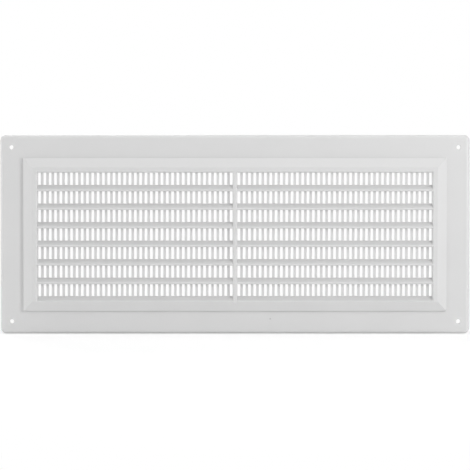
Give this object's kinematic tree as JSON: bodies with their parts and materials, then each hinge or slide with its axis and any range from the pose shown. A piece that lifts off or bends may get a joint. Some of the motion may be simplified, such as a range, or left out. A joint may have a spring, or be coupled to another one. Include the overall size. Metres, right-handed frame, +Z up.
{
  "type": "vent register",
  "caption": "Wide rectangular louvred vent register with fixed sloping blades, insect bars behind them, a bevelled raised frame and a flat flange with corner screw holes.",
  "frame": {"origin": "centre of the four-screw pattern, in the plane of the wall behind the register", "axes": "+X to the right as seen from the front, +Y into the wall, +Z up; the front faces -Y"},
  "size_m": [0.39, 0.011, 0.165],
  "materials": {
    "moulding": "satin white"
  },
  "bodies": {
    "root": {"vent_grille": "moulding"}
  },
  "joints": []
}
